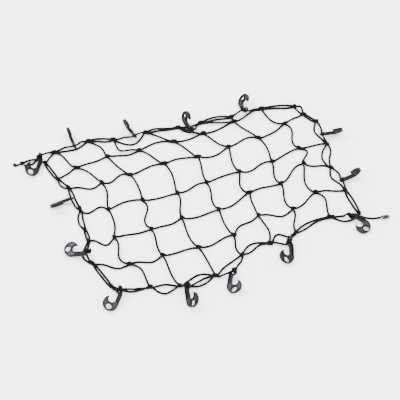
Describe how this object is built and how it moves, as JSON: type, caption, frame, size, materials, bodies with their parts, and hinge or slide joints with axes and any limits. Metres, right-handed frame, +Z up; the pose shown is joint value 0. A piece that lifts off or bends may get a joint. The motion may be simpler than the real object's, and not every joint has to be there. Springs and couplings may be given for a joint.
{
  "type": "cargo net",
  "caption": "Black elastic cargo net with a knotted square mesh, a doubled border cord and moulded plastic hooks, laid loosely on a flat surface.",
  "frame": {"origin": "middle of the part's outline, on the surface it lies on", "axes": "+X along the net's long cords, +Y across them towards the back edge, +Z up from the surface"},
  "size_m": [0.8344, 0.6636, 0.0432],
  "materials": {
    "cord": "matt braided black",
    "hook_plastic": "moulded satin black",
    "clip_plastic": "moulded matt black with pale specks"
  },
  "bodies": {
    "root": {"net": "cord", "left_end": "cord", "right_end": "cord", "hook_01": "hook_plastic", "hook_02": "hook_plastic", "hook_03": "hook_plastic", "hook_04": "hook_plastic", "hook_05": "hook_plastic", "hook_06": "hook_plastic", "hook_07": "hook_plastic", "hook_08": "hook_plastic", "hook_09": "hook_plastic", "hook_10": "hook_plastic", "hook_11": "hook_plastic", "hook_12": "hook_plastic", "hook_13": "hook_plastic", "hook_14": "hook_plastic", "end_clip": "clip_plastic"}
  },
  "joints": []
}
